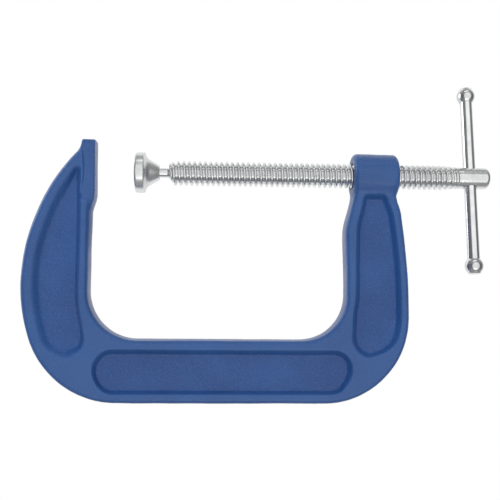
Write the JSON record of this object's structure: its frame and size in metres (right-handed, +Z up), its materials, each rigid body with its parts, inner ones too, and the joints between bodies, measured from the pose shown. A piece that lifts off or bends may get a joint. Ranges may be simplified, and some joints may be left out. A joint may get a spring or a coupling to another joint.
{
  "type": "c clamp",
  "caption": "Cast C-shaped clamp frame with an anvil pad, a long screw running in a threaded boss, a swivel shoe on the screw's end and a sliding tommy bar with end knobs.",
  "frame": {"origin": "centre of the anvil face, on the screw axis", "axes": "+X runs along the screw axis from the anvil face towards the tommy bar, +Z is up with the spine below the screw, and the clamp stands in the XZ plane, its mid-plane at Y = 0"},
  "size_m": [0.3051, 0.029, 0.2105],
  "materials": {
    "frame_paint": "satin blue enamel over a sand-cast skin",
    "plated_screw": "bright zinc plating over a rolled thread",
    "plated_shoe": "zinc plating over a turned surface",
    "bright_bar": "bright drawn bar, zinc plated",
    "bright_knob": "bright zinc plating"
  },
  "bodies": {
    "frame": {"frame": "frame_paint"},
    "shoe": {"swivel_shoe": "plated_shoe"},
    "screw": {"screw": "plated_screw"},
    "bar": {"tommy_bar": "bright_bar", "upper_knob": "bright_knob", "lower_knob": "bright_knob"}
  },
  "joints": [
    {"name": "screw_travel", "type": "slide", "parent": "frame", "child": "shoe", "axis": [1, 0, 0], "range_m": [-0.0252, 0.1248]},
    {"name": "screw_turn", "type": "hinge", "parent": "shoe", "child": "screw", "pos_m": [0.0349, 0, 0], "axis": [1, 0, 0], "range_deg": [-2571, 12816]},
    {"name": "bar_slide", "type": "slide", "parent": "screw", "child": "bar", "axis": [0, 0.1392, 0.9903], "range_m": [-0.0467, 0.0481]}
  ],
  "couplings": [
    {"joint": "screw_travel", "follows": "screw_turn", "m_per_rad": 0.00055704}
  ]
}
